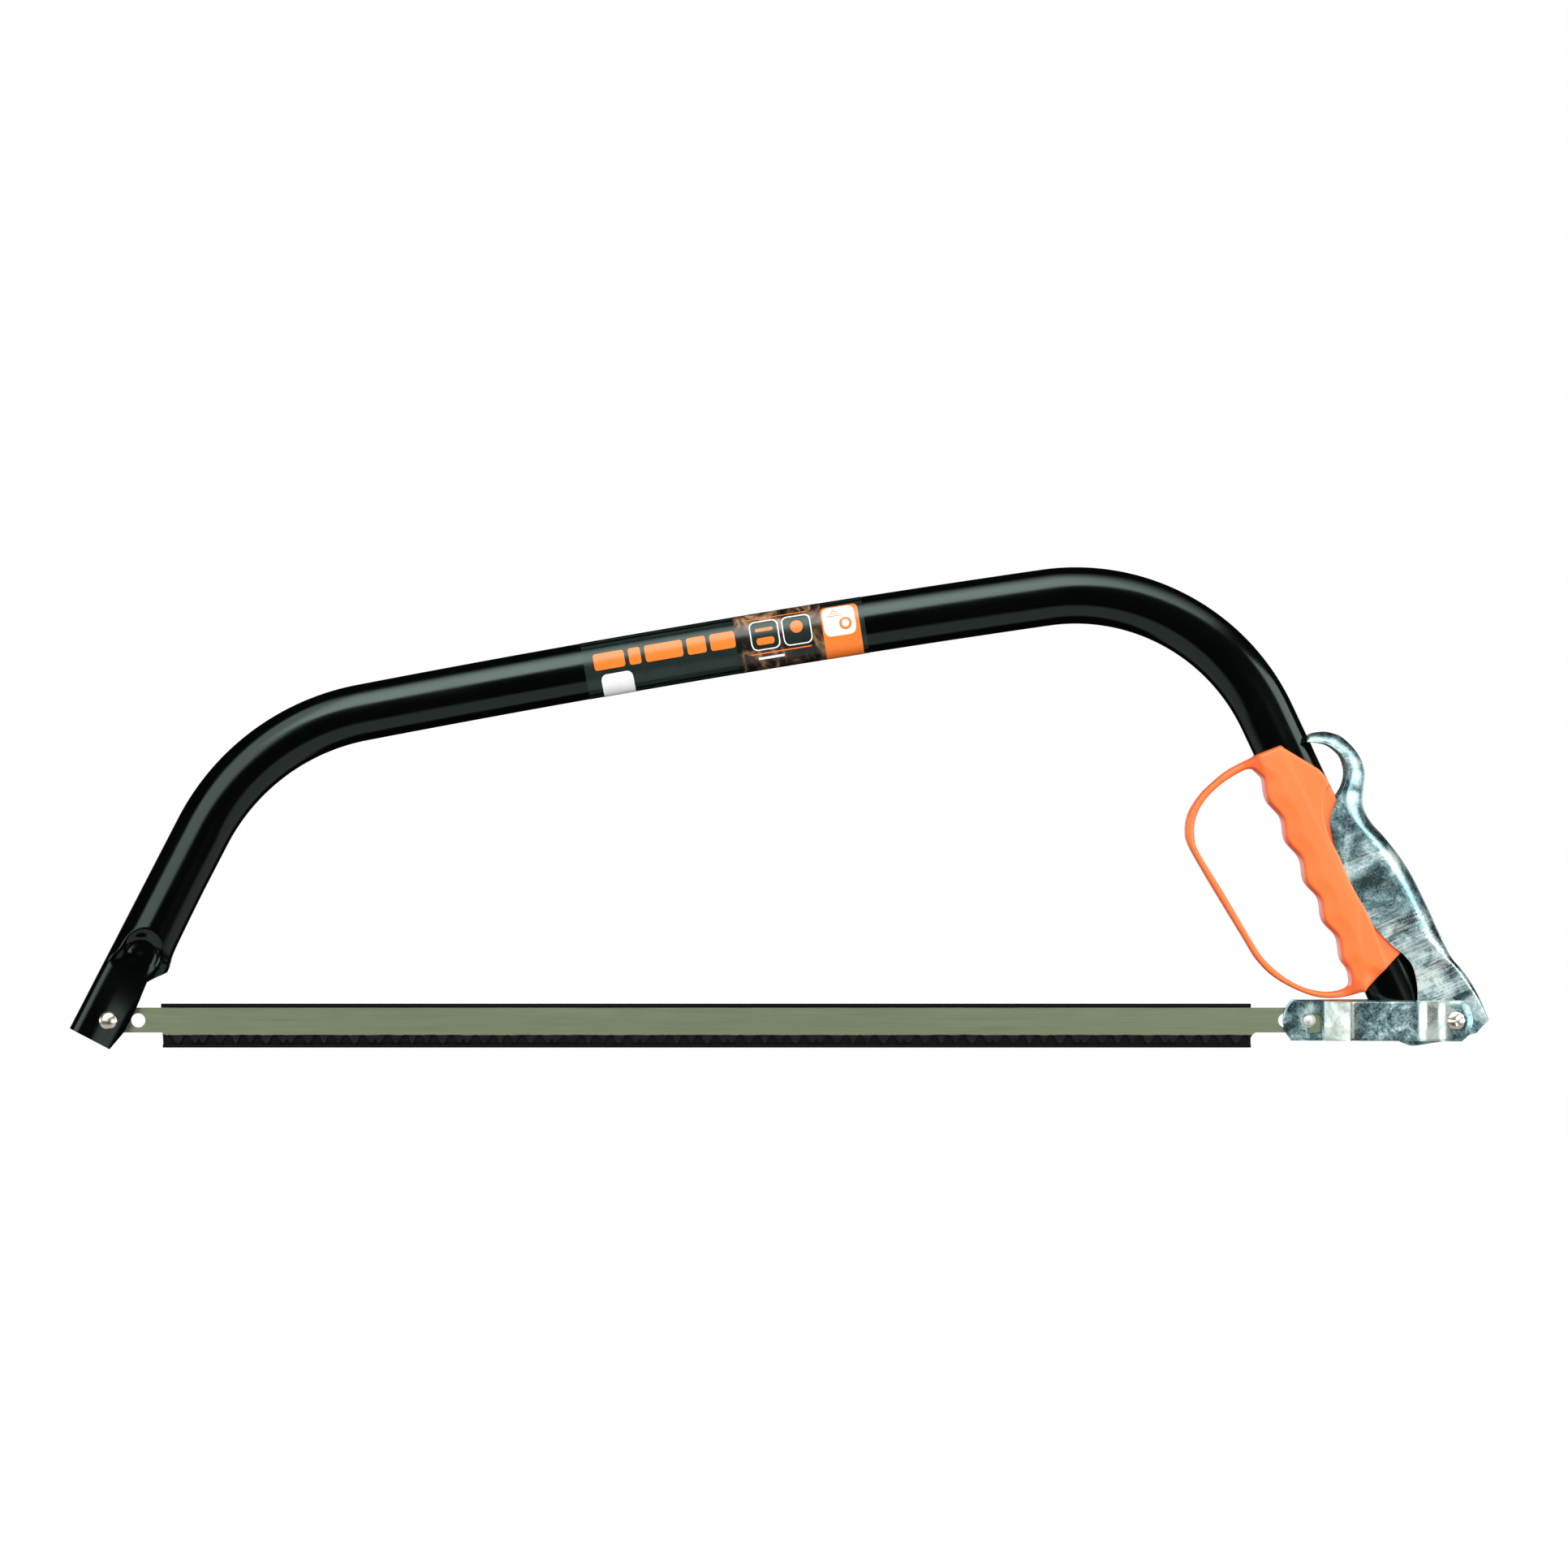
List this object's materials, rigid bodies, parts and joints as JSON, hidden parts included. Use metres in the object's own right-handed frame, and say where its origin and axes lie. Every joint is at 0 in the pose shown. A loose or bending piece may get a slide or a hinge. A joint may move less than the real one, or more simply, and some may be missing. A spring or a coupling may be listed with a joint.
{
  "type": "bow saw",
  "caption": "Bow saw with a bent oval tube frame, straight toothed blade with a clip-on guard, and a moulded handle with a knuckle loop and a hooked tension lever.",
  "frame": {"origin": "centre of the hand grip, on the centreline of the rear leg of the tube", "axes": "+X from the toe to the handle along the blade, +Z from the blade up to the bow, +Y across the thickness, away from the side shown"},
  "size_m": [0.7176, 0.029, 0.244],
  "materials": {
    "frame_paint": "gloss black enamel",
    "blade_steel": "brushed along the length, lightly oiled",
    "zinc_sheet": "bright zinc plate, mottled and scratched",
    "pin_nickel": "satin nickel",
    "handle_plastic": "satin moulded, orange",
    "guard_plastic": "satin extruded, black",
    "label_film": "clear printed film on the black tube"
  },
  "bodies": {
    "frame": {"frame_tube": "frame_paint", "front_blade_pin": "pin_nickel", "front_pin_clip": "pin_nickel", "handle": "handle_plastic", "label_film": "label_film", "lever_pivot_rivet": "zinc_sheet", "lever_pivot_sleeve": "zinc_sheet"},
    "lever": {"tension_lever": "zinc_sheet"},
    "link": {"link_plate_near": "zinc_sheet", "link_plate_far": "zinc_sheet", "link_rivet": "pin_nickel", "link_rivet_sleeve": "zinc_sheet"},
    "blade": {"saw_blade": "blade_steel", "rear_blade_pin": "pin_nickel"},
    "guard": {"blade_guard": "guard_plastic"}
  },
  "joints": [
    {"name": "lever_swing", "type": "hinge", "parent": "frame", "child": "lever", "pos_m": [0.0361, 0, -0.07706], "axis": [0, 1, 0], "range_deg": [0, 70]},
    {"name": "link_turn", "type": "hinge", "parent": "lever", "child": "link", "pos_m": [0.0575, 0, -0.0746], "axis": [0, 1, 0], "range_deg": [-91, 0]},
    {"name": "blade_drop", "type": "hinge", "parent": "frame", "child": "blade", "pos_m": [-0.6231, 0, -0.075], "axis": [0, 1, 0], "range_deg": [0, 5]},
    {"name": "guard_unclip", "type": "slide", "parent": "blade", "child": "guard", "axis": [0, 1, 0], "range_m": [0, 0.06]}
  ],
  "couplings": [
    {"joint": "link_turn", "follows": "lever_swing", "ratio": -1.295},
    {"joint": "blade_drop", "follows": "lever_swing", "ratio": 0.068}
  ]
}
